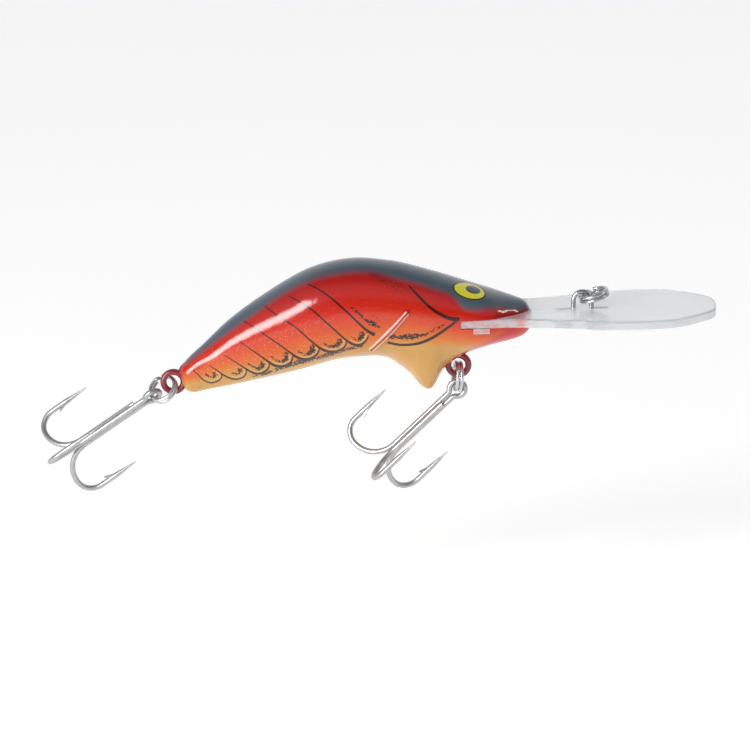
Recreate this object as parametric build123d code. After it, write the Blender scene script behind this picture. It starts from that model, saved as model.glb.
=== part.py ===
from build123d import *

import os
from math import cos, radians, sin, sqrt

# A deep-diving crankbait, in millimetres, at its rest pose. +X points to the tip of
# the diving lip, +Y to the lure's left side and +Z up. The flat of the lip is level.
# The origin is the centre of the wire eye that the line is tied to.

# ---------------------------------------------------------------- driving dimensions

# Body shell, as curves over the length: (x, value).
TAIL_END = -90.2
TAIL_ROUNDING = 2.0
NOSE_END = -11.45
CREST = [
    (-90.2, -11.9), (-88.0, -10.3), (-81.0, -3.8), (-74.0, 1.6), (-66.0, 6.5),
    (-58.0, 10.1), (-50.5, 11.2), (-43.0, 10.4), (-33.5, 7.8), (-22.0, 3.7),
    (-14.5, 1.1), (-13.0, 0.45), (-12.1, -0.7), (-11.4, -2.5),
]
KEEL = [
    (-90.2, -18.3), (-88.0, -18.4), (-79.0, -17.0), (-65.0, -14.2), (-52.5, -11.3),
    (-47.0, -11.1), (-43.4, -12.0), (-40.6, -14.0), (-38.4, -16.0), (-36.4, -18.6),
    (-34.8, -19.5), (-33.5, -18.6), (-32.0, -15.8), (-30.2, -13.8), (-26.5, -11.3),
    (-21.0, -9.3), (-15.5, -8.2), (-12.9, -7.2), (-11.4, -5.3),
]
WAIST = [
    (-90.2, -13.3), (-88.2, -14.2), (-80.0, -9.9), (-70.0, -5.6), (-60.0, -2.2),
    (-50.0, -0.8), (-40.0, -1.2), (-30.0, -2.1), (-20.0, -2.5), (-11.4, -2.9),
]
GIRTH = [
    (-90.2, 2.6), (-88.0, 2.9), (-81.0, 4.4), (-70.0, 7.0), (-60.0, 8.9), (-50.0, 9.5),
    (-40.0, 9.3), (-30.0, 8.7), (-21.4, 8.5), (-17.8, 6.6), (-15.0, 4.9), (-13.0, 3.2),
    (-12.0, 2.0), (-11.4, 0.9),
]
KEEL_FULLNESS = [
    (-90.2, 2.0), (-52.0, 2.0), (-42.0, 1.6), (-36.0, 1.4), (-30.0, 1.7), (-22.0, 2.1),
    (-11.4, 2.1),
]
CREST_FULLNESS = 2.15
STATIONS = [
    -90.12, -89.75, -89.2, -88.2, -85.5, -81.0, -75.0, -68.0, -61.0, -54.5, -49.0,
    -45.5, -43.0, -40.8, -38.6, -36.8, -35.5, -34.4, -33.2, -31.8, -29.8, -27.0,
    -23.5, -20.0, -17.0, -14.8, -13.3, -12.3, NOSE_END,
]
RIM_ANGLES = (-90, -76, -58, -38, -18, 0, 20, 42, 66, 90)
WALL = 1.5

# Chambers in the shell, rear to front: (rear end, front end, radius of its ball).
CHAMBERS = {
    "rear": (-82.5, -69.5, 2.0),
    "middle": (-66.9, -53.8, 2.75),
    "front": (-51.2, -35.5, 3.0),
}
CHIN_FLOOR = (-47.0, -8.6)
BALL_CLEARANCE = 0.35
BALL_SIDE_ROOM = 1.12
BALL_LIFT = 0.3
LIFT_STEP = 0.1
BALL_TURN = (35, 25, 0)

# Ranges in Y and Z that reach past the body on every side.
PAST_Y = (-15, 15)
PAST_Z = (-25, 15)

# Diving lip, a flat plate: half-widths of its blade over the length.
LIP_TOP = -1.55
LIP_THICK = 2.0
LIP_HEEL = -27.4
LIP_NECK_END = -18.0
LIP_TIP = 29.8
LIP_NECK_HALF = 8.4
LIP_BLADE = [(-10.0, 9.2), (-3.6, 10.6), (4.0, 12.7), (12.0, 13.4), (20.5, 12.4),
             (26.8, 8.0)]
LIP_EDGE = 0.45
TONGUE_BACK = -32.0
TONGUE_HALF = 4.0
PEG_RADIUS = 1.2
RIB = (-24.6, -21.0)
RIB_DEPTH = 1.2

# Line-tie eye, bent from one wire; its feet are moulded into the lip.
TIE_WIRE = 0.55
TIE_RADIUS = 2.0
TIE_FOOT = 3.0
TIE_BEND = 0.75

# Hook hangers: figure-of-eight wires, one eye outside and one inside the shell.
EYE_WIRE = 0.725
EYE_RADIUS = 2.25
TAIL_EYE = Vector(-91.8, 0, -16.0)
TAIL_EYE_INWARD = 24
BELLY_EYE = Vector(-28.0, 0, -14.1)
BELLY_EYE_INWARD = 98

# Split rings: two coils of one wire, joined by a short step.
RING_WIRE = 0.425
RING_RADIUS = 3.1
COIL_PITCH = 0.9
STEP_ANGLE = 22
END_GAP = 5
STEP_PLACE = 95
TIE_STEP_PLACE = 105

# Treble hooks: a double hook bent from one wire, and a single hook brazed to it.
HOOK_WIRE = 0.62
HOOK_LENGTH = 29.0
SHANK_OFFSET = 0.75
BEND_REACH = 7.8
SPEAR_BEND = 3.8
POINT_HEIGHT = 14.0
POINT_TAPER = 5.5
POINT_TIP = 0.08
BARB_DROP = 8.0
BARB_REACH = 1.35
BARB_LENGTH = 3.4
BARB_THICK = 0.5
BARB_ROOT = 0.9
HOOK_EYE = 1.75
HOOK_FLARE = 1.2
SINGLE_SHANK_END = 22.0
BRAZE = (9.5, 21.0)
BRAZE_RADIUS = 0.85

# Rest pose, in degrees: how far each ring and hook points below -X, and its twist.
TAIL_PULL = 33.6
TAIL_RING_TWIST = -35
TAIL_HOOK_ROLL = -136
BELLY_RING_PULL = 85
BELLY_RING_TWIST = -8
BELLY_HOOK_PULL = 42.8
BELLY_HOOK_ROLL = -2
TIE_RING_RISE = 15.4
TIE_RING_SEAT = (-0.38, 0.34)
TAIL_RING_SEAT = -0.25
BELLY_RING_SEAT = -0.5
HOOK_SEAT = -0.15

# Alignment pins on the right half: (x, z).
PINS = [(-84.0, -12.2), (-68.2, -4.0), (-52.5, 0.0), (-43.6, -10.1), (-31.5, 3.2),
        (-19.5, 0.9)]
PIN_RADIUS = 0.8
PIN_LENGTH = 2.2
PIN_SLACK = 0.05
PIN_END_GAP = 0.3

# Raised gill ridge on each flank, from its lower rear end to its upper front end.
RIDGE = ((-47.4, -8.1), (-39.3, 0.8))
RIDGE_RADIUS = 0.62
RIDGE_GROOVE = 0.24

# Lead slug across the chin: (x, z) of its middle.
BALLAST_PLACE = (-35.8, -12.3)
BALLAST_RADIUS = 2.3
BALLAST_LENGTH = 3.6


# ---------------------------------------------------------------- small helpers

def smooth(points, x):
    """The value at x of a curve through the points that doesn't overshoot them."""
    slopes = [(b[1] - a[1]) / (b[0] - a[0]) for a, b in zip(points, points[1:])]
    inner = [2 * a * b / (a + b) if a * b > 0 else 0 for a, b in zip(slopes, slopes[1:])]
    tangents = [slopes[0], *inner, slopes[-1]]
    i = max(k for k in range(len(slopes)) if k == 0 or points[k][0] <= x)
    (x0, y0), (x1, y1) = points[i], points[i + 1]
    span = x1 - x0
    t = min(max((x - x0) / span, 0), 1)
    rise = y1 - y0
    lift = tangents[i] * span
    land = tangents[i + 1] * span
    return y0 + lift * t + (3 * rise - 2 * lift - land) * t**2 + (lift + land - 2 * rise) * t**3


def down_along(degrees_below):
    """Unit direction that points back along -X and this far below it."""
    return Vector(-cos(radians(degrees_below)), 0, -sin(radians(degrees_below)))


def block(x, y, z):
    """A box from its three ranges."""
    size = [b - a for a, b in (x, y, z)]
    return Pos(x[0], y[0], z[0]) * Box(*size, align=(Align.MIN,) * 3)


def wire_along(path, radius):
    """Round wire along a path of tangent lines and arcs."""
    return sweep(Plane(origin=path @ 0, z_dir=path % 0) * Circle(radius), path=path)


# ---------------------------------------------------------------- body shell

def body_outline(x, inset):
    """Waist, crest, keel and half-width of the body at x, shrunk by the inset."""
    waist = smooth(WAIST, x)
    into_tail = max(TAIL_END + TAIL_ROUNDING - x, 0) / TAIL_ROUNDING
    scale = sqrt(1 - into_tail**2)
    crest = waist + (smooth(CREST, x) - waist) * scale - inset
    keel = waist + (smooth(KEEL, x) - waist) * scale + inset
    return waist, crest, keel, smooth(GIRTH, x) * scale - inset


def rim(x, angle, inset=0.0):
    """Half-width and height of the skin at x; angle runs from keel -90 to crest 90."""
    waist, crest, keel, wide = body_outline(x, inset)
    fullness = CREST_FULLNESS if angle > 0 else smooth(KEEL_FULLNESS, x)
    across = max(cos(radians(angle)), 0) ** (2 / fullness)
    along = abs(sin(radians(angle))) ** (2 / fullness)
    height = waist + along * (crest - waist if angle > 0 else keel - waist)
    return wide * across, height


def skin_y(x, z):
    """Half-width of the outer skin at x and height z."""
    waist, crest, keel, wide = body_outline(x, 0)
    reach = crest - waist if z > waist else keel - waist
    fullness = CREST_FULLNESS if z > waist else smooth(KEEL_FULLNESS, x)
    return wide * (1 - min((z - waist) / reach, 1) ** fullness) ** (1 / fullness)


def section(x, inset):
    """Closed cross-section of the body at x."""
    sides = []
    for side in (1, -1):
        points = [rim(x, angle, inset) for angle in RIM_ANGLES]
        spots = [Vector(x, side * y, z) for y, z in points]
        sides.append(Spline(spots, tangents=[(0, side, 0), (0, -side, 0)],
                            tangent_scalars=[1, 1]))
    return Wire(sides)


def body_loft(stations, inset=0.0):
    return Solid.make_loft([section(x, inset) for x in stations])


def chambers():
    """The hollow of the shell: three chambers between bulkheads."""
    start = CHAMBERS["rear"][0]
    end = CHAMBERS["front"][1]
    hollow = body_loft([start, *[x for x in STATIONS if start < x < end], end], WALL)
    for (_, a, _), (b, _, _) in zip(list(CHAMBERS.values()), list(CHAMBERS.values())[1:]):
        hollow -= block((a, b), PAST_Y, PAST_Z)
    back, floor = CHIN_FLOOR
    return hollow - block((back, end + WALL), PAST_Y, (PAST_Z[0], floor))


def gill_ridge():
    """The raised double line on the right flank."""
    (x0, z0), (x1, z1) = RIDGE
    middle = ((x0 + x1) / 2, (z0 + z1) / 2)
    spots = [Vector(x, -skin_y(x, z), z) for x, z in ((x0, z0), middle, (x1, z1))]
    line = ThreePointArc(*spots)
    crown = ThreePointArc(*[p - Vector(0, RIDGE_RADIUS, 0) for p in spots])
    bead = wire_along(line, RIDGE_RADIUS)
    for end in (spots[0], spots[-1]):
        bead += Pos(*end) * Sphere(RIDGE_RADIUS)
    return bead - wire_along(crown, RIDGE_GROOVE)


def pin(x, z, radius, length):
    """A round peg that stands on the parting plane and points to +Y."""
    return Pos(x, 0, z) * Rot(-90, 0, 0) * Cylinder(
        radius, length, align=(Align.CENTER, Align.CENTER, Align.MIN))


# ---------------------------------------------------------------- fixed pieces

def diving_lip():
    """Flat plate with a rounded blade, a cross rib and a tongue with a peg hole."""
    start = (LIP_NECK_END, LIP_NECK_HALF)
    edge = Spline([start, *LIP_BLADE, (LIP_TIP, 0)], tangents=[(1, 0.05), (0, -1)])
    other = edge.mirror(Plane.XZ)
    heel = Polyline(start, (LIP_HEEL, LIP_NECK_HALF), (LIP_HEEL, -LIP_NECK_HALF),
                    (LIP_NECK_END, -LIP_NECK_HALF))
    outline = make_face(Wire([edge, other, *heel.edges()]))
    plate = extrude(outline, amount=-LIP_THICK)
    long_edges = [e for e in plate.edges() if e.length > 40]
    plate = fillet(long_edges, LIP_EDGE)
    tongue = block((TONGUE_BACK, LIP_HEEL + 1), (-TONGUE_HALF, TONGUE_HALF), (-LIP_THICK, 0))
    plate = plate + tongue
    plate -= Pos((TONGUE_BACK + LIP_HEEL) / 2, 0, 0) * Cylinder(PEG_RADIUS, 3 * LIP_THICK)
    rib = block(RIB, (-LIP_NECK_HALF, LIP_NECK_HALF), (-LIP_THICK - RIB_DEPTH, -LIP_THICK))
    return Pos(0, 0, LIP_TOP) * (plate + rib)


def lip_slot():
    """What the lip takes out of the head, open to both flanks."""
    bottom = LIP_TOP - LIP_THICK
    slot = block((LIP_HEEL, LIP_TIP), PAST_Y, (bottom, LIP_TOP))
    return slot + block(RIB, PAST_Y, (bottom - RIB_DEPTH, LIP_TOP))


def line_tie_eye():
    """Upright wire loop; its legs go down into the lip and its feet turn out."""
    depth = LIP_TOP - LIP_THICK / 2
    loop = ThreePointArc((-TIE_RADIUS, 0, 0), (0, 0, TIE_RADIUS), (TIE_RADIUS, 0, 0))
    edges = [loop]
    for side in (-1, 1):
        knee = Vector(side * TIE_RADIUS, 0, depth + TIE_BEND)
        toe = Vector(side * (TIE_RADIUS + TIE_BEND), 0, depth)
        swing = Vector(side * (TIE_RADIUS + TIE_BEND * (1 - cos(radians(45)))), 0,
                       depth + TIE_BEND * (1 - sin(radians(45))))
        edges += [Line((side * TIE_RADIUS, 0, 0), knee), ThreePointArc(knee, swing, toe),
                  Line(toe, toe + Vector(side * TIE_FOOT, 0, 0))]
    return wire_along(Wire(edges), TIE_WIRE)


def hook_hanger(eye, inward):
    """Two wire eyes side by side, the second one deeper inside the shell."""
    direction = Vector(cos(radians(inward)), 0, sin(radians(inward)))
    centres = (eye, eye + direction * (2 * EYE_RADIUS))
    first, second = [Pos(*c) * Rot(90, 0, 0) * Torus(EYE_RADIUS, EYE_WIRE) for c in centres]
    return first + second


def chin_ballast():
    """Lead slug with domed ends, cast to lie across the chin."""
    slug = Cylinder(BALLAST_RADIUS, BALLAST_LENGTH)
    for side in (-1, 1):
        slug += Pos(0, 0, side * BALLAST_LENGTH / 2) * Sphere(BALLAST_RADIUS)
    x, z = BALLAST_PLACE
    return Pos(x, 0, z) * Rot(90, 0, 0) * slug


# ---------------------------------------------------------------- moving pieces

def split_ring():
    """Two coils in planes parallel to XY, with the step and both ends at +X."""
    coils = []
    half = STEP_ANGLE / 2
    low = half + END_GAP
    for level, start in ((-1, low), (1, half)):
        arc = 360 - half - low
        base = Plane(origin=(0, 0, level * COIL_PITCH / 2)) * Rot(0, 0, start)
        profile = base * Pos(RING_RADIUS, 0, 0) * Rot(90, 0, 0) * Circle(RING_WIRE)
        coils.append(revolve(profile, Axis.Z, revolution_arc=arc))
    ends = []
    for level, angle in ((-1, -half), (1, half)):
        a = radians(angle)
        spot = Vector(RING_RADIUS * cos(a), RING_RADIUS * sin(a), level * COIL_PITCH / 2)
        ends.append((spot, Vector(-sin(a), cos(a), 0)))
    step = Spline([ends[0][0], ends[1][0]], tangents=[ends[0][1], ends[1][1]])
    return coils[0] + wire_along(step, RING_WIRE) + coils[1]


def hook_curve(turn, eye_height):
    """Wire axis of one hook from its shank's top to its point, out along the turn."""
    foot = HOOK_WIRE
    gape = BEND_REACH - SHANK_OFFSET

    def spot(r, h):
        return Vector(r * cos(radians(turn)), r * sin(radians(turn)), h)

    def arc(centre, radius, a, b):
        marks = [radians(a), radians((a + b) / 2), radians(b)]
        return ThreePointArc(*[spot(centre[0] + radius * cos(m), centre[1] + radius * sin(m))
                               for m in marks])

    shank = Line(spot(SHANK_OFFSET, eye_height), spot(SHANK_OFFSET, foot + gape))
    inner = arc((BEND_REACH, foot + gape), gape, 180, 270)
    outer = arc((BEND_REACH, foot + SPEAR_BEND), SPEAR_BEND, 270, 360)
    spear_r = BEND_REACH + SPEAR_BEND
    spear = Line(spot(spear_r, foot + SPEAR_BEND), spot(spear_r, POINT_HEIGHT - POINT_TAPER))
    return [shank, inner, outer, spear]


def hook_point(turn):
    """Tapered point and barb on top of a spear."""
    spear_r = BEND_REACH + SPEAR_BEND
    base = POINT_HEIGHT - POINT_TAPER
    tip = Pos(spear_r, 0, base) * Cone(HOOK_WIRE, POINT_TIP, POINT_TAPER, align=(
        Align.CENTER, Align.CENTER, Align.MIN))
    low = POINT_HEIGHT - BARB_DROP
    barb = Polyline((spear_r, 0, low + BARB_ROOT), (spear_r - BARB_REACH, 0, low),
                    (spear_r, 0, low + BARB_LENGTH), close=True)
    wedge = extrude(make_face(Wire(barb.edges())), amount=BARB_THICK / 2, dir=(0, 1, 0),
                    both=True)
    return Rot(0, 0, turn) * (tip + wedge)


def eye_plane_height():
    """Height of the hook eye's centre, and of the start of its flares below it."""
    centre = HOOK_LENGTH - HOOK_EYE - HOOK_WIRE
    lateral = SHANK_OFFSET * sin(radians(60)) + HOOK_FLARE
    drop = sqrt((HOOK_FLARE + HOOK_EYE) ** 2 - lateral**2)
    return centre, centre - drop


def double_hook():
    """Two hooks and their shared eye, in a frame with +Z along the shank, at the
    outside of the bend. The single hook's direction is +X."""
    centre, flare = eye_plane_height()
    lateral = SHANK_OFFSET * sin(radians(60))
    depth = -SHANK_OFFSET * cos(radians(60))
    ratio = HOOK_FLARE / (HOOK_FLARE + HOOK_EYE)
    edges = []
    joints = []
    for side, turn in ((1, 120), (-1, -120)):
        hub = Vector(depth, side * (lateral + HOOK_FLARE), flare)
        to_eye = Vector(depth, 0, centre) - hub
        joint = hub + to_eye * ratio
        inward = Vector(0, -side, 0)
        halfway = (inward + to_eye.normalized()).normalized() * HOOK_FLARE + hub
        edges.append(ThreePointArc(Vector(depth, side * lateral, flare), halfway, joint))
        edges += hook_curve(turn, flare)
        joints.append(joint)
    loop = ThreePointArc(joints[0], Vector(depth, 0, centre + HOOK_EYE), joints[1])
    wire = wire_along(Wire([loop, *edges]), HOOK_WIRE)
    return wire + hook_point(120) + hook_point(-120)


def single_hook():
    """The third hook, whose straight shank ends short of the eye."""
    return wire_along(Wire(hook_curve(0, SINGLE_SHANK_END)), HOOK_WIRE) + hook_point(0)


def braze():
    """Brazing metal that fills the gap between the three shanks."""
    low, high = BRAZE
    fill = Pos(0, 0, low) * Cylinder(BRAZE_RADIUS, high - low, align=(
        Align.CENTER, Align.CENTER, Align.MIN))
    for turn in (0, 120, -120):
        spot = Rot(0, 0, turn) * Pos(SHANK_OFFSET, 0, 0)
        fill -= spot * Cylinder(HOOK_WIRE, 3 * high)
    return fill


# ---------------------------------------------------------------- rest pose

def ring_place(eye, pull, twist, seat):
    """Where a ring lies: its frame's X is the pull, its Z the ring's own axis."""
    direction = down_along(pull)
    up = Vector(0, 1, 0).cross(direction)
    tangent = Vector(0, 1, 0) * cos(radians(twist)) - up * sin(radians(twist))
    centre = eye + direction * (RING_RADIUS + seat)
    return Plane(origin=centre, x_dir=direction, z_dir=direction.cross(tangent))


def treble_place(ring, pull, roll):
    """Where a treble lies: its eye is round the far side of the ring's wire."""
    direction = down_along(pull)
    up = Vector(0, 1, 0).cross(direction)
    eye = ring.origin + ring.x_dir * RING_RADIUS + direction * HOOK_SEAT
    single = Vector(0, -1, 0) * cos(radians(roll)) - up * sin(radians(roll))
    centre, _ = eye_plane_height()
    offset = single * (SHANK_OFFSET * cos(radians(60)))
    return Plane(origin=eye + direction * centre + offset, x_dir=single, z_dir=-direction)


TAIL_RING = ring_place(TAIL_EYE, TAIL_PULL, TAIL_RING_TWIST, TAIL_RING_SEAT)
BELLY_RING = ring_place(BELLY_EYE, BELLY_RING_PULL, BELLY_RING_TWIST, BELLY_RING_SEAT)
TIE_RING_DIRECTION = Vector(cos(radians(TIE_RING_RISE)), 0, sin(radians(TIE_RING_RISE)))
TIE_RING = Plane(
    origin=Vector(TIE_RING_SEAT[0], 0, TIE_RING_SEAT[1]) + TIE_RING_DIRECTION * RING_RADIUS,
    x_dir=TIE_RING_DIRECTION, z_dir=TIE_RING_DIRECTION.cross(Vector(0, 1, 0)))


def ball_travel(name):
    """Rest place of a rattle ball, at the low end of its chamber, and the far end."""
    rear, front, radius = CHAMBERS[name]
    reach = radius + BALL_CLEARANCE
    if name == "front":
        back, floor = CHIN_FLOOR
        return [Vector(x, 0, floor + reach) for x in (back + reach, front - reach)]
    ends = []
    for x in (rear + reach, front - reach):
        z = smooth(KEEL, x) + WALL + reach
        while skin_y(x, z) - WALL < BALL_SIDE_ROOM * reach:
            z += LIFT_STEP
        ends.append(Vector(x, 0, z + BALL_LIFT))
    return ends


# ---------------------------------------------------------------- assembly

def build():
    """Every piece of the lure by its node name."""
    lip = diving_lip()
    tie = line_tie_eye()
    belly_hanger = hook_hanger(BELLY_EYE, BELLY_EYE_INWARD)
    tail_hanger = hook_hanger(TAIL_EYE, TAIL_EYE_INWARD)
    ballast = chin_ballast()
    half = body_loft(STATIONS) - block((TAIL_END, NOSE_END), (0, PAST_Y[1]), PAST_Z)
    for piece in (chambers(), lip_slot(), lip, belly_hanger, tail_hanger, ballast):
        half -= piece
    half += gill_ridge()
    nodes = {"body_half_right": half, "body_half_left": half.mirror(Plane.XZ)}
    for x, z in PINS:
        nodes["body_half_right"] += pin(x, z, PIN_RADIUS, PIN_LENGTH)
        nodes["body_half_left"] -= pin(x, z, PIN_RADIUS + PIN_SLACK,
                                       PIN_LENGTH + PIN_END_GAP)
    nodes["diving_lip"] = lip - tie
    nodes["line_tie_eye"] = tie
    nodes["belly_hook_hanger"] = belly_hanger
    nodes["tail_hook_hanger"] = tail_hanger
    nodes["chin_ballast"] = ballast
    for name, (_, _, radius) in CHAMBERS.items():
        nodes[f"rattle_ball_{name}"] = (
            Pos(*ball_travel(name)[0]) * Rot(*BALL_TURN) * Sphere(radius))
    ring = split_ring()
    nodes["line_tie_split_ring"] = TIE_RING.location * Rot(0, 0, TIE_STEP_PLACE) * ring
    places = {
        "belly": (BELLY_RING, treble_place(BELLY_RING, BELLY_HOOK_PULL, BELLY_HOOK_ROLL)),
        "tail": (TAIL_RING, treble_place(TAIL_RING, TAIL_PULL, TAIL_HOOK_ROLL)),
    }
    treble = {"double_hook": double_hook(), "single_hook": single_hook(), "braze": braze()}
    for name, (ring_frame, hook_frame) in places.items():
        nodes[f"{name}_split_ring"] = ring_frame.location * Rot(0, 0, STEP_PLACE) * ring
        for piece, solid in treble.items():
            nodes[f"{name}_treble_{piece}"] = hook_frame.location * solid
    return nodes


def describe_joints():
    """The joint axes, for the record."""
    for name, frame in (("tail", TAIL_RING), ("belly", BELLY_RING), ("tie", TIE_RING)):
        print(name, "ring centre", frame.origin, "axis", frame.z_dir)
    for name in CHAMBERS:
        start, end = ball_travel(name)
        travel = end - start
        print(name, "ball from", start, "travel", travel.length, "along", travel.normalized())


if __name__ == "__main__":
    os.makedirs("parts", exist_ok=True)
    for node, solid in build().items():
        export_step(solid, f"parts/{node}.step")
    describe_joints()
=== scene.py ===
import math

import bpy
from mathutils import Matrix, Vector

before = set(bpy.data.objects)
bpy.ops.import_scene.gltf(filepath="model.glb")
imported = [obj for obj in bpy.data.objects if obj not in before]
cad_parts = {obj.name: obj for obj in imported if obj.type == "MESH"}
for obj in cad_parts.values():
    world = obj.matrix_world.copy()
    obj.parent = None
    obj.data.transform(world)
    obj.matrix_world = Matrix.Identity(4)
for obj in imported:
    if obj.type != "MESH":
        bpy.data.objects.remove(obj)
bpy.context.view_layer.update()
MM = 0.001
# A distance in mm that is outside everything, and how many segments share one place.
FAR = 99.0
BATCH = 12


# ---------------------------------------------------------------- node helpers
class Nodes:
    """Builds one material, or the world, from small pieces of node arithmetic."""

    def __init__(self, name, tree=None):
        if tree is None:
            self.material = bpy.data.materials.new(name)
            self.material.use_nodes = True
            tree = self.material.node_tree
            self.shader = tree.nodes["Principled BSDF"]
        self.tree = tree
        self.segments = 0
        self.last = None

    def node(self, kind, **settings):
        made = self.tree.nodes.new(kind)
        for key, value in settings.items():
            setattr(made, key, value)
        return made

    def feed(self, socket, value):
        if isinstance(value, bpy.types.NodeSocket):
            self.tree.links.new(value, socket)
        elif value is not None:
            socket.default_value = value

    def math(self, operation, a, b=None, c=None, clamp=False):
        made = self.node("ShaderNodeMath", operation=operation, use_clamp=clamp)
        for socket, value in zip(made.inputs, (a, b, c)):
            self.feed(socket, value)
        return made.outputs[0]

    def vector(self, operation, a, b=None, scale=None):
        made = self.node("ShaderNodeVectorMath", operation=operation)
        self.feed(made.inputs[0], a)
        self.feed(made.inputs[1], b)
        if scale is not None:
            self.feed(made.inputs["Scale"], scale)
        return made.outputs["Value" if operation in ("LENGTH", "DOT_PRODUCT") else "Vector"]

    def join(self, x, y, z):
        made = self.node("ShaderNodeCombineXYZ")
        for socket, value in zip(made.inputs, (x, y, z)):
            self.feed(socket, value)
        return made.outputs[0]

    def step(self, value, low, high, start=0.0, end=1.0):
        """A smooth step from start at low to end at high."""
        made = self.node("ShaderNodeMapRange", interpolation_type="SMOOTHSTEP")
        for socket, given in zip(made.inputs, (value, low, high, start, end)):
            self.feed(socket, given)
        return made.outputs[0]

    def mix(self, amount, a, b, blend="MIX"):
        made = self.node("ShaderNodeMix", data_type="RGBA", blend_type=blend)
        sockets = (made.inputs[0], made.inputs[6], made.inputs[7])
        for socket, value in zip(sockets, (amount, a, b)):
            self.feed(socket, value)
        return made.outputs[2]

    def ramp(self, value, stops):
        made = self.node("ShaderNodeValToRGB")
        elements = made.color_ramp.elements
        while len(elements) < len(stops):
            elements.new(0.5)
        for element, (place, colour) in zip(elements, stops):
            element.position = place
            element.color = colour
        self.feed(made.inputs[0], value)
        return made.outputs[0]

    def curve(self, value, points, low, high):
        """A smooth curve through (x, value) points, with x and value in mm."""
        x0, x1 = points[0][0], points[-1][0]
        made = self.node("ShaderNodeFloatCurve")
        line = made.mapping.curves[0]
        while len(line.points) < len(points):
            line.points.new(0.5, 0.5)
        for point, (x, z) in zip(line.points, points):
            point.location = ((x - x0) / (x1 - x0), (z - low) / (high - low))
        made.mapping.update()
        made.inputs["Factor"].default_value = 1.0
        place = self.math("DIVIDE", self.math("SUBTRACT", value, x0), x1 - x0, clamp=True)
        self.feed(made.inputs["Value"], place)
        return self.math("MULTIPLY_ADD", made.outputs[0], high - low, low)

    def noise(self, place, scale, detail=2.0, roughness=0.5):
        made = self.node("ShaderNodeTexNoise")
        self.feed(made.inputs["Vector"], place)
        self.feed(made.inputs["Scale"], scale)
        self.feed(made.inputs["Detail"], detail)
        self.feed(made.inputs["Roughness"], roughness)
        return made.outputs[0]

    def cells(self, place, scale):
        made = self.node("ShaderNodeTexVoronoi")
        self.feed(made.inputs["Vector"], place)
        self.feed(made.inputs["Scale"], scale)
        return made.outputs["Distance"], made.outputs["Color"]

    def bump(self, height, strength, distance):
        made = self.node("ShaderNodeBump")
        made.inputs["Strength"].default_value = strength
        made.inputs["Distance"].default_value = distance
        self.feed(made.inputs["Height"], height)
        return made.outputs[0]

    def place(self):
        """The surface point in the part's own frame, in mm."""
        return self.vector("SCALE", self.node("ShaderNodeTexCoord").outputs["Object"], scale=1000.0)

    def after(self, flat, value):
        """The same place, worked out once value is known, which keeps the shader's stack small."""
        raised = self.vector("ADD", flat, self.join(0.0, value, 0.0))
        return self.vector("MULTIPLY", raised, (1.0, 0.0, 1.0))

    def strokes(self, flat, lines):
        """Distance in mm outside the nearest of some tapered lines of (x, z, half width)."""
        nearest = FAR
        for line in lines:
            for (ax, az, a_half), (bx, bz, b_half) in zip(line, line[1:]):
                if self.segments % BATCH == 0 and self.last is not None:
                    flat = self.after(flat, self.last)
                start = Vector((ax, 0, az))
                run = Vector((bx, 0, bz)) - start
                made = self.node("ShaderNodeGroup", node_tree=SEGMENT)
                values = (flat, start, run, run / run.length_squared, a_half, b_half - a_half,
                          nearest)
                for socket, value in zip(made.inputs, values):
                    self.feed(socket, value)
                nearest = self.last = made.outputs[0]
                self.segments += 1
        return nearest


def segment_group():
    """The smaller of a distance so far and the distance outside one tapered segment."""
    tree = bpy.data.node_groups.new("segment", "ShaderNodeTree")
    for name in ("Place", "Start", "Run", "Along"):
        tree.interface.new_socket(name, in_out="INPUT", socket_type="NodeSocketVector")
    for name in ("Half", "Growth", "Nearest"):
        tree.interface.new_socket(name, in_out="INPUT", socket_type="NodeSocketFloat")
    tree.interface.new_socket("Nearest", in_out="OUTPUT", socket_type="NodeSocketFloat")
    work = Nodes("segment", tree)
    place, start, run, along, half, growth, nearest = list(
        work.node("NodeGroupInput").outputs)[:7]
    offset = work.vector("SUBTRACT", place, start)
    part = work.math("ADD", work.vector("DOT_PRODUCT", offset, along), 0.0, clamp=True)
    beside = work.vector("LENGTH", work.vector(
        "SUBTRACT", offset, work.vector("SCALE", run, scale=part)))
    away = work.math("SUBTRACT", beside, work.math("MULTIPLY_ADD", part, growth, half))
    work.feed(work.node("NodeGroupOutput").inputs[0], work.math("MINIMUM", nearest, away))
    return tree


def srgb(red, green, blue):
    """A linear colour from 0..255 display values."""
    def linear(value):
        value /= 255
        return value / 12.92 if value <= 0.04045 else ((value + 0.055) / 1.055) ** 2.4
    return (linear(red), linear(green), linear(blue), 1.0)


def smoothed(points):
    """The line with one more point on each run, on a smooth curve through the given points."""
    rows = [Vector(p) for p in points]
    made = [rows[0]]
    for i in range(len(rows) - 1):
        before, after = rows[max(i - 1, 0)], rows[min(i + 2, len(rows) - 1)]
        made += [(rows[i] + rows[i + 1]) * 0.5625 - (before + after) * 0.0625, rows[i + 1]]
    return [tuple(p) for p in made]


def inside(points, start, distance, widths):
    """A line beside the given one, on the left of its direction, from its point number start."""
    rows = [Vector((p[0], p[1])) for p in points[start:]]
    made = []
    for i, row in enumerate(rows):
        along = (rows[min(i + 1, len(rows) - 1)] - rows[max(i - 1, 0)]).normalized()
        half = widths[min(i, len(widths) - 1)]
        place = row + Vector((-along.y, along.x)) * distance
        made.append((place.x, place.y, half))
    return made


# ---------------------------------------------------------------- body paint
SEGMENT = segment_group()
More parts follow.
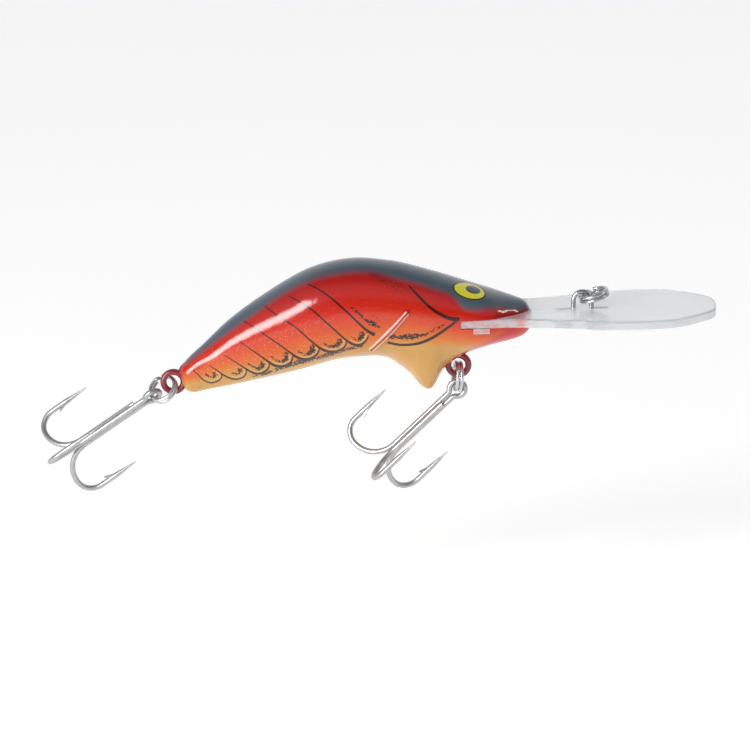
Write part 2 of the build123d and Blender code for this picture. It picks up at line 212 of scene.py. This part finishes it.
# Heights in mm along the body: its crest, the top of the tan belly and the dark back's edge.
CREST = [(-90.2, -11.9), (-81.0, -3.8), (-74.0, 1.6), (-66.0, 6.5), (-58.0, 10.1),
         (-50.5, 11.2), (-43.0, 10.4), (-33.5, 7.8), (-22.0, 3.7), (-14.5, 1.1), (-10.4, -3.3)]
BELLY = [(-90.2, -18.6), (-79.0, -17.2), (-65.0, -14.2), (-52.5, -11.6), (-46.0, -10.4),
         (-40.0, -9.4), (-34.0, -8.8), (-28.0, -8.6), (-21.0, -8.6), (-15.5, -9.0), (-10.4, -9.5)]
BACK_EDGE = [(-90.2, -12.2), (-85.7, -9.0), (-81.1, -5.4), (-76.5, -2.0), (-72.0, 1.2),
             (-67.4, 4.4), (-62.8, 6.9), (-57.3, 8.8), (-49.5, 9.7), (-45.6, 9.3),
             (-41.8, 8.2), (-36.9, 6.9), (-33.4, 5.6), (-30.0, 4.4), (-28.2, 3.0),
             (-26.3, 1.2), (-24.2, 0.8), (-22.1, 1.0), (-18.9, 0.7), (-15.8, -0.2),
             (-10.4, -1.3)]

# Shell-plate lines, from the tail forward: x, z and half width, each ending in a hook.
PLATES = [
    [(-87.2, -12.6, 0.12), (-86.0, -13.7, 0.14), (-85.0, -14.9, 0.17), (-83.2, -15.7, 0.20),
     (-81.4, -15.0, 0.18), (-80.8, -13.8, 0.14), (-81.2, -12.9, 0.10)],
    [(-83.5, -11.4, 0.10), (-82.0, -12.4, 0.15), (-80.4, -13.7, 0.20), (-78.7, -14.7, 0.24),
     (-77.4, -14.9, 0.24), (-76.0, -14.3, 0.20), (-75.3, -13.0, 0.14), (-75.4, -12.2, 0.10)],
    [(-80.2, -8.8, 0.10), (-77.7, -10.4, 0.15), (-75.5, -12.0, 0.22), (-73.7, -13.3, 0.30),
     (-72.3, -13.5, 0.32), (-70.8, -12.6, 0.26), (-70.1, -11.2, 0.15), (-70.4, -10.2, 0.10)],
    [(-76.6, -5.6, 0.12), (-74.5, -7.0, 0.14), (-72.3, -8.6, 0.18), (-70.5, -10.1, 0.26),
     (-68.8, -11.4, 0.38), (-66.8, -11.6, 0.36), (-65.2, -10.4, 0.24), (-64.8, -8.6, 0.12)],
    [(-75.4, -1.4, 0.12), (-73.0, -2.4, 0.14), (-70.6, -4.0, 0.17), (-67.7, -6.0, 0.19),
     (-65.5, -7.8, 0.24), (-64.2, -9.0, 0.34), (-62.5, -9.9, 0.40), (-60.6, -9.6, 0.34),
     (-59.2, -8.3, 0.22), (-58.9, -7.0, 0.12)],
    [(-70.6, 2.0, 0.12), (-69.4, 1.3, 0.14), (-67.5, 0.3, 0.17), (-65.3, -1.0, 0.18),
     (-63.1, -2.6, 0.19), (-61.4, -4.3, 0.20), (-59.9, -5.8, 0.24), (-58.5, -7.1, 0.32),
     (-56.9, -8.0, 0.38), (-55.2, -8.1, 0.34), (-53.7, -7.4, 0.26), (-52.9, -6.2, 0.18),
     (-52.8, -5.2, 0.12)],
    [(-65.2, 4.5, 0.12), (-63.2, 3.8, 0.15), (-61.3, 2.8, 0.18), (-59.5, 1.5, 0.19),
     (-57.6, -0.3, 0.20), (-55.7, -2.1, 0.21), (-53.8, -4.1, 0.23), (-52.3, -5.6, 0.28),
     (-50.8, -6.5, 0.34), (-49.3, -6.3, 0.30), (-48.3, -5.2, 0.20), (-47.9, -4.2, 0.12)],
    [(-61.0, 7.1, 0.12), (-59.3, 6.6, 0.15), (-57.4, 5.6, 0.20), (-55.5, 4.3, 0.22),
     (-53.6, 2.6, 0.22), (-51.7, 0.8, 0.23), (-49.8, -1.2, 0.25), (-48.1, -2.9, 0.32),
     (-46.8, -3.8, 0.46)],
]
# Which point each plate's hooked end starts at, and how heavy its inner shading is.
HOOK_ENDS = [(2, 0.14), (3, 0.22), (2, 0.30), (3, 0.34), (5, 0.40), (7, 0.44), (7, 0.34)]
GILL_LINES = [
    [(-38.6, 6.4, 0.16), (-37.6, 5.4, 0.24), (-36.2, 3.9, 0.28), (-34.6, 2.3, 0.30),
     (-33.2, 1.1, 0.34), (-31.5, 0.0, 0.38), (-29.9, -0.8, 0.44), (-28.0, -1.1, 0.46)],
    [(-28.0, -1.1, 0.22), (-29.1, -2.1, 0.30), (-30.8, -3.3, 0.34), (-32.5, -4.5, 0.35),
     (-34.6, -5.7, 0.36), (-36.9, -6.6, 0.36), (-39.0, -6.9, 0.34), (-41.1, -6.9, 0.34),
     (-43.4, -6.3, 0.34)],
]
# Raised ridge behind the gill: painted highlights along its two edges, and a painted shade line in
# the groove between them.
RIDGE_HIGHLIGHTS = [[(-47.7, -7.8, 0.14), (-43.7, -3.4, 0.22), (-39.4, 1.2, 0.12)],
               [(-47.1, -8.5, 0.14), (-42.9, -4.0, 0.20), (-38.9, 0.6, 0.12)]]
RIDGE_GROOVE_SHADE = [[(-47.4, -8.2, 0.04), (-43.3, -3.7, 0.08), (-38.4, 1.6, 0.06)]]
# Where the stippling gathers: x, z and how wide it is solid.
STIPPLE = [
    [(-67.6, -12.1, 0.10), (-63.2, -10.6, 0.40), (-59.6, -9.8, 0.10), (-56.4, -8.8, 0.40),
     (-52.6, -7.6, 0.05), (-49.6, -7.0, 0.05)],
    [(-74.5, -14.2, -0.20), (-71.5, -13.8, 0.10), (-68.5, -12.5, 0.20)],
    [(-42.9, -4.5, 0.45), (-41.3, -4.9, 0.05), (-39.6, -4.8, 0.45), (-37.8, -4.8, 0.40),
     (-35.2, -4.4, -0.05), (-33.0, -3.2, -0.10), (-30.8, -2.0, -0.20)],
    [(-51.3, 2.5, -0.10), (-49.8, 1.2, -0.10), (-48.2, -0.5, -0.05), (-46.8, -1.3, 0.40),
     (-45.2, -2.2, -0.20)],
    [(-47.2, 0.9, -0.35), (-44.9, -1.0, -0.35)],
]
BACK_STIPPLE = [[(-47.0, 9.0, 0.2), (-43.8, 7.9, 0.6), (-41.0, 6.4, 0.7), (-39.2, 5.4, 0.2)]]
# The heights that the curves above run between.
LOWEST, HIGHEST = -20.0, 12.0
# How far inside a plate's line its cream band and its dark shading run, and the band's widths.
CREAM_INSET = 0.64
CREAM_WIDTHS = (0.04, 0.14, 0.24, 0.28, 0.28, 0.24, 0.16)
SHADING_INSET = 1.45
# The red spray along the throat and under the jaw: x, z and half width.
THROAT = [(-32.8, -19.0, -0.4), (-31.2, -15.0, 0.0), (-28.6, -12.2, 0.4),
          (-25.0, -10.4, 0.8), (-20.5, -8.6, 1.4), (-14.0, -6.4, 2.6)]
EYE_CENTRE = (-25.2, 2.82)
EYE_HALF = (3.6, 1.72)
PUPIL_CENTRE = (-24.35, 3.02)
PUPIL_HALF = (1.7, 0.86)
EYE_TILT = math.radians(-16.75)
EYE_SLANT = math.radians(16.5)

INK = srgb(22, 10, 8)
CREAM = srgb(214, 164, 108)
TAN = srgb(204, 152, 76)
AMBER = srgb(216, 112, 36)
ORANGE = srgb(214, 74, 14)
VERMILION = srgb(208, 36, 8)
RED = srgb(192, 16, 6)
DEEP_RED = srgb(158, 8, 10)
THROAT_RED = srgb(205, 22, 22)
BACK_GREY = srgb(76, 91, 104)
EYE_YELLOW = srgb(236, 226, 44)
PUPIL_GREY = srgb(52, 64, 70)


def oval(paint, across, up, centre, half, tilt):
    """1 at the edge of a tilted ellipse, and less inside it."""
    x = paint.math("SUBTRACT", across, centre[0])
    z = paint.math("SUBTRACT", up, centre[1])
    along = paint.math("MULTIPLY_ADD", z, math.sin(tilt) / half[0],
                       paint.math("MULTIPLY", x, math.cos(tilt) / half[0]))
    beside = paint.math("MULTIPLY_ADD", z, math.cos(tilt) / half[1],
                        paint.math("MULTIPLY", x, -math.sin(tilt) / half[1]))
    return paint.vector("LENGTH", paint.join(along, beside, 0.0))


def body_paint():
    """Airbrushed crayfish pattern under clear gloss, mirrored on both flanks except the eye."""
    paint = Nodes("body_paint")
    place = paint.place()
    split = paint.node("ShaderNodeSeparateXYZ")
    paint.feed(split.inputs[0], place)
    x, y, z = split.outputs
    side = paint.math("ABSOLUTE", y)
    flat = paint.join(x, 0.0, z)
    ragged = paint.noise(place, 2.2, 3.0, 0.6)
    wander = paint.math("MULTIPLY_ADD", ragged, 0.5, -0.25)

    crest = paint.curve(x, CREST, LOWEST, HIGHEST)
    belly = paint.curve(x, BELLY, LOWEST, HIGHEST)
    back_edge = paint.curve(x, BACK_EDGE, LOWEST, HIGHEST)
    level = paint.math("DIVIDE", paint.math("SUBTRACT", z, belly),
                       paint.math("SUBTRACT", crest, belly))

    # Airbrushed flank: tan belly, orange, then red towards the back, more orange to the tail.
    tail_shift = paint.step(x, -88.0, -64.0, -0.16, 0.0)
    head_shift = paint.step(x, -40.0, -20.0, 0.0, 0.16)
    cloud = paint.math("MULTIPLY_ADD", paint.noise(place, 0.16, 2.0), 0.10, -0.05)
    level = paint.math("ADD", paint.math("ADD", level, tail_shift),
                       paint.math("ADD", head_shift, cloud))
    colour = paint.ramp(level, [(0.0, TAN), (0.12, TAN), (0.25, AMBER), (0.42, ORANGE),
                                (0.58, VERMILION), (0.78, RED), (1.0, DEEP_RED)])

    # Metal flake: bright grains, strongest in the orange and towards the tail, on a fine grain.
    near, grain = paint.cells(place, 3.6)
    fleck = paint.math("MULTIPLY", paint.step(near, 0.30, 0.12),
                       paint.step(grain, 0.45, 0.60))
    in_orange = paint.step(level, 0.95, 0.35)
    to_tail = paint.step(x, -50.0, -64.0, 0.3, 0.95)
    sparkle = paint.math("MULTIPLY", fleck, paint.math("MULTIPLY", in_orange, to_tail))
    colour = paint.mix(sparkle, colour, srgb(255, 196, 140))
    _, fine = paint.cells(place, 9.0)
    colour = paint.mix(0.16, colour, fine, "SOFT_LIGHT")

    # Cream bands inside the plates' hooked ends.
    bands = []
    for plate, (start, _) in zip(PLATES, HOOK_ENDS):
        bands.append(inside(plate, start, CREAM_INSET, CREAM_WIDTHS))
    band = paint.strokes(flat, bands)
    colour = paint.mix(paint.step(band, 0.10, -0.06, 0.0, 0.85), colour, CREAM)

    # Throat and jaw edges sprayed red.
    throat = paint.strokes(flat, [THROAT])
    throat = paint.math("ADD", throat, wander)
    colour = paint.mix(paint.step(throat, 1.3, -0.2), colour, THROAT_RED)

    # Dark back with a soft sprayed edge, and its stippled patch behind the head.
    over = paint.math("SUBTRACT", z, back_edge)
    over = paint.math("ADD", over, paint.math("MULTIPLY", wander, 0.5))
    colour = paint.mix(paint.step(over, -1.1, 0.7), colour, BACK_GREY)

    # Ink: plate and gill lines, inner shading and stipple.
    inner = []
    for plate, (start, heavy) in zip(PLATES, HOOK_ENDS):
        widths = (-0.15, -0.05, heavy * 0.5, heavy, heavy * 0.9, heavy * 0.3)
        inner.append(inside(plate, start, SHADING_INSET, widths))
    lines = paint.strokes(flat, [smoothed(line) for line in PLATES + GILL_LINES])
    lines = paint.math("MULTIPLY_ADD", wander, 0.14, lines)
    solid = paint.step(lines, 0.06, -0.07)
    shaded = paint.strokes(flat, inner + STIPPLE)
    dots, _ = paint.cells(place, 2.5)
    reach = paint.step(shaded, 1.0, -0.15)
    dotted = paint.step(paint.math("SUBTRACT", dots, paint.math("MULTIPLY", reach, 0.78)),
                        0.0, -0.10)
    patch = paint.step(paint.strokes(flat, BACK_STIPPLE), 1.5, -0.4)
    small, _ = paint.cells(place, 3.4)
    peppered = paint.step(paint.math("SUBTRACT", small, paint.math("MULTIPLY", patch, 0.50)),
                          0.0, -0.10)
    ink = paint.math("MAXIMUM", paint.math("MAXIMUM", solid, dotted),
                     paint.math("MULTIPLY", peppered, 0.75))
    colour = paint.mix(paint.math("MULTIPLY", ink, 0.95), colour, INK)

    # The ridge: a painted shade line along its groove, and painted highlights on its edges.
    colour = paint.mix(paint.step(paint.strokes(flat, RIDGE_GROOVE_SHADE), 0.15, -0.1, 0.0, 0.7),
                       colour, srgb(120, 20, 26))
    colour = paint.mix(paint.step(paint.strokes(flat, RIDGE_HIGHLIGHTS), 0.1, -0.12, 0.0, 0.85),
                       colour, srgb(250, 214, 214))

    # Eye, printed on each side of the head; the one on the +Y side is cut off below the crest.
    up = paint.math("MULTIPLY_ADD", z, math.cos(EYE_SLANT),
                    paint.math("MULTIPLY", side, -math.sin(EYE_SLANT)))
    rim = oval(paint, x, up, EYE_CENTRE, EYE_HALF, EYE_TILT)
    pupil = oval(paint, x, up, PUPIL_CENTRE, PUPIL_HALF, EYE_TILT)
    printed = paint.math("MAXIMUM", paint.step(y, -0.3, -0.6), paint.step(y, 1.8, 2.1))
    colour = paint.mix(paint.math("MULTIPLY", paint.step(rim, 1.12, 1.05), printed),
                       colour, srgb(44, 50, 40))
    colour = paint.mix(paint.math("MULTIPLY", paint.step(rim, 0.97, 0.93), printed),
                       colour, EYE_YELLOW)
    colour = paint.mix(paint.math("MULTIPLY", paint.step(pupil, 1.04, 0.94), printed),
                       colour, PUPIL_GREY)

    shader = paint.shader
    paint.feed(shader.inputs["Base Color"], colour)
    shader.inputs["Roughness"].default_value = 0.42
    shader.inputs["Specular IOR Level"].default_value = 0.1
    shader.inputs["Coat Weight"].default_value = 1.0
    shader.inputs["Coat Roughness"].default_value = 0.07
    shader.inputs["Coat IOR"].default_value = 1.5
    orange_peel = paint.noise(place, 0.5, 1.0)
    paint.feed(shader.inputs["Coat Normal"], paint.bump(orange_peel, 0.008, 0.0005))
    return paint.material


# ---------------------------------------------------------------- other materials
def clear_plastic():
    """Clear lip, tinted inside the slot with painted light and painted reflection: pale for light
    carried along the blade, mottled pink for the body's red paint.
    """
    clear = Nodes("clear_plastic")
    place = clear.place()
    shader = clear.shader
    split = clear.node("ShaderNodeSeparateXYZ")
    clear.feed(split.inputs[0], place)
    in_slot = clear.step(split.outputs[0], -11.5, -13.5)
    # Inside the slot: painted light and painted reflection. A pale tone stands for light carried
    # along the blade, and a pink mottle for the body's red paint reflected in it. The transmission
    # is lowered there as well.
    light_and_reflection_mottle = clear.noise(clear.vector("MULTIPLY", place, (0.45, 0.2, 1.6)), 1.0, 3.0, 0.6)
    seen = clear.mix(clear.step(light_and_reflection_mottle, 0.36, 0.64), srgb(222, 168, 158), srgb(212, 206, 216))
    clear.feed(shader.inputs["Base Color"], clear.mix(in_slot, srgb(248, 250, 252), seen))
    clear.feed(shader.inputs["Transmission Weight"], clear.step(in_slot, 0.0, 1.0, 0.62, 0.12))
    shader.inputs["IOR"].default_value = 1.30
    haze = clear.noise(place, 0.35, 3.0, 0.6)
    clear.feed(shader.inputs["Roughness"], clear.step(haze, 0.35, 0.75, 0.03, 0.10))
    flow = clear.noise(clear.vector("MULTIPLY", place, (0.05, 0.25, 0.25)), 1.0, 2.0)
    clear.feed(shader.inputs["Normal"], clear.bump(flow, 0.10, 0.001))
    return clear.material


def metal(name, colour, dark, roughness, grain=1.2):
    """Drawn or plated wire: slight tarnish, and a fine grain."""
    wire = Nodes(name)
    place = wire.place()
    shader = wire.shader
    stain = wire.noise(place, 0.45, 4.0, 0.65)
    fine = wire.noise(place, grain, 3.0, 0.6)
    wire.feed(shader.inputs["Base Color"], wire.mix(
        wire.step(stain, 0.45, 0.75, 0.0, 0.5), colour, dark))
    shader.inputs["Metallic"].default_value = 1.0
    wire.feed(shader.inputs["Roughness"], wire.step(stain, 0.3, 0.8, roughness, roughness + 0.16))
    wire.feed(shader.inputs["Normal"], wire.bump(fine, 0.12, 0.00006))
    return wire.material


def painted_wire():
    """Wire eye under dark red overspray, worn to bare metal in spots."""
    wire = Nodes("painted_wire")
    place = wire.place()
    shader = wire.shader
    wear = wire.step(wire.noise(place, 1.1, 4.0, 0.6), 0.66, 0.72)
    coat = wire.mix(wire.noise(place, 0.8, 2.0), srgb(120, 22, 30), srgb(152, 34, 40))
    wire.feed(shader.inputs["Base Color"], wire.mix(wear, coat, srgb(150, 140, 138)))
    wire.feed(shader.inputs["Metallic"], wear)
    shader.inputs["Roughness"].default_value = 0.30
    shader.inputs["Coat Weight"].default_value = 0.6
    shader.inputs["Coat Roughness"].default_value = 0.10
    wire.feed(shader.inputs["Normal"], wire.bump(wear, 0.25, 0.00005))
    return wire.material


TINNED = metal("tinned_hook", srgb(186, 186, 187), srgb(146, 146, 148), 0.34)
STEEL = metal("ring_steel", srgb(206, 207, 210), srgb(140, 140, 144), 0.22)
BRIGHT_WIRE = metal("tie_wire", srgb(186, 186, 190), srgb(112, 110, 112), 0.18)
BRAZE = metal("braze_metal", srgb(184, 182, 178), srgb(152, 140, 112), 0.42, grain=2.5)
LEAD = metal("ballast_lead", srgb(120, 124, 132), srgb(84, 86, 92), 0.55)
BALL = metal("ball_steel", srgb(200, 202, 206), srgb(150, 150, 152), 0.12)
LOOKS = {
    "body_half_right": body_paint(),
    "diving_lip": clear_plastic(),
    "line_tie_eye": BRIGHT_WIRE,
    "belly_hook_hanger": painted_wire(),
    "chin_ballast": LEAD,
}
LOOKS["body_half_left"] = LOOKS["body_half_right"]
LOOKS["tail_hook_hanger"] = LOOKS["belly_hook_hanger"]
for spot in ("line_tie", "belly", "tail"):
    LOOKS[spot + "_split_ring"] = STEEL
for spot in ("belly", "tail"):
    LOOKS[spot + "_treble_double_hook"] = TINNED
    LOOKS[spot + "_treble_single_hook"] = TINNED
    LOOKS[spot + "_treble_braze"] = BRAZE
for spot in ("rear", "middle", "front"):
    LOOKS["rattle_ball_" + spot] = BALL

for name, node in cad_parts.items():
    node.data.materials.clear()
    node.data.materials.append(LOOKS[name])

# ---------------------------------------------------------------- floor and light
FLOOR_HEIGHT = -0.078
FLOOR_HALF = 4.0
FLOOR_GLOW = 0.42
LAMP_DISTANCE = 1.0
LAMP_AIM = Vector((-0.05, 0.0, -0.01))


def floor():
    """Plain floor that glows a little, so that it stays pale."""
    mesh = bpy.data.meshes.new("floor")
    corners = [(-FLOOR_HALF, -FLOOR_HALF), (FLOOR_HALF, -FLOOR_HALF),
               (FLOOR_HALF, FLOOR_HALF), (-FLOOR_HALF, FLOOR_HALF)]
    mesh.from_pydata([(x, y, FLOOR_HEIGHT) for x, y in corners], [], [(0, 1, 2, 3)])
    plane = bpy.data.objects.new("floor", mesh)
    bpy.context.scene.collection.objects.link(plane)
    pale = Nodes("pale_floor")
    tone = pale.noise(pale.place(), 0.004, 2.0)
    pale.feed(pale.shader.inputs["Base Color"],
              pale.mix(tone, srgb(246, 246, 246), srgb(250, 250, 250)))
    pale.shader.inputs["Roughness"].default_value = 0.9
    pale.shader.inputs["Emission Color"].default_value = (1.0, 1.0, 1.0, 1.0)
    pale.shader.inputs["Emission Strength"].default_value = FLOOR_GLOW
    mesh.materials.append(pale.material)


def studio():
    """White surround for the camera, and a room for the reflections.

    The room has a pale table, a dark band just above it, a bright band over that, a dim ceiling
    and a bright wall on the +Y side.
    """
    world = bpy.data.worlds.new("studio")
    bpy.context.scene.world = world
    world.use_nodes = True
    sky = Nodes("studio", world.node_tree)
    split = sky.node("ShaderNodeSeparateXYZ")
    sky.feed(split.inputs[0], sky.node("ShaderNodeTexCoord").outputs["Generated"])
    rise = sky.math("MULTIPLY_ADD", split.outputs[2], 0.5, 0.5)
    tone = sky.ramp(rise, [(place, (grey, grey, grey, 1.0)) for place, grey in (
        (0.0, 0.50), (0.52, 0.42), (0.58, 0.12), (0.66, 0.12), (0.76, 0.55), (0.88, 0.50),
        (0.95, 0.20), (1.0, 0.16))])
    behind = sky.step(split.outputs[1], 0.2, 0.95)
    tone = sky.mix(behind, tone, (0.9, 0.9, 0.9, 1.0))
    seen = sky.node("ShaderNodeLightPath").outputs["Is Camera Ray"]
    background = world.node_tree.nodes["Background"]
    sky.feed(background.inputs["Color"], sky.mix(seen, tone, (1.0, 1.0, 1.0, 1.0)))
    background.inputs["Strength"].default_value = 1.0


def soften(light):
    """Fade a light's panel to nothing at all its edges, most slowly across its width."""
    light.use_nodes = True
    panel = Nodes("panel", light.node_tree)
    split = panel.node("ShaderNodeSeparateXYZ")
    panel.feed(split.inputs[0], panel.node("ShaderNodeNewGeometry").outputs["Parametric"])
    beside = panel.math("ABSOLUTE", panel.math("SUBTRACT", split.outputs[0], 0.5))
    along = panel.math("ABSOLUTE", panel.math("SUBTRACT", split.outputs[1], 0.5))
    glow = panel.math("MULTIPLY", panel.step(beside, 0.5, 0.1), panel.step(along, 0.5, 0.36))
    panel.feed(light.node_tree.nodes["Emission"].inputs["Strength"], glow)


def softbox(name, azimuth, elevation, size, power, roll=0.0, soft=False):
    """A rectangular light facing the lure; azimuth 0 is in front, positive to the right."""
    light = bpy.data.lights.new(name, "AREA")
    light.shape = "RECTANGLE"
    light.size, light.size_y = size
    light.energy = power
    lamp = bpy.data.objects.new(name, light)
    bpy.context.scene.collection.objects.link(lamp)
    if soft:
        soften(light)
    turn, rise = math.radians(azimuth), math.radians(elevation)
    back = Vector((math.sin(turn) * math.cos(rise), -math.cos(turn) * math.cos(rise),
                   math.sin(rise)))
    lamp.location = LAMP_AIM + back * LAMP_DISTANCE
    rolled = Matrix.Rotation(math.radians(roll), 3, "Z")
    turned = back.to_track_quat("Z", "Y").to_matrix() @ rolled
    lamp.rotation_euler = turned.to_euler()
    return lamp


floor()
studio()
# The key lights the paint, the sheen is only seen in the gloss, and the strip does both.
key = softbox("key", azimuth=-50, elevation=20, size=(0.20, 0.85), power=6.0, roll=-30)
key.visible_glossy = False
sheen = softbox("sheen", azimuth=-42, elevation=13, size=(0.40, 0.82), power=17.0, roll=-32,
                soft=True)
sheen.visible_diffuse = False
softbox("right_strip", azimuth=78, elevation=26, size=(0.07, 0.30), power=0.7)

# ---------------------------------------------------------------- camera
ELEVATION = math.radians(16.5)
ROLL = math.radians(1.75)
TARGET = Vector((-46.7, 0.0, -15.9)) * MM
DISTANCE = 1.2
WIDTH_AT_TARGET = 0.1678
SENSOR = 36.0


def photo_camera():
    """A long lens in front of the lure and a little above it, rolled slightly."""
    camera = bpy.data.cameras.new("camera")
    camera.sensor_width = SENSOR
    camera.lens = SENSOR * DISTANCE / WIDTH_AT_TARGET
    camera.clip_start, camera.clip_end = 0.05, 20.0
    eye = bpy.data.objects.new("camera", camera)
    bpy.context.scene.collection.objects.link(eye)
    ahead = Vector((0.0, math.cos(ELEVATION), -math.sin(ELEVATION)))
    level_up = Vector((0.0, math.sin(ELEVATION), math.cos(ELEVATION)))
    right = Vector((math.cos(ROLL), 0.0, 0.0)) - level_up * math.sin(ROLL)
    up = Vector((math.sin(ROLL), 0.0, 0.0)) + level_up * math.cos(ROLL)
    turned = Matrix((right, up, -ahead)).transposed()
    eye.matrix_world = Matrix.Translation(TARGET - ahead * DISTANCE) @ turned.to_4x4()
    bpy.context.scene.camera = eye


photo_camera()
bpy.context.scene.view_settings.view_transform = "Standard"
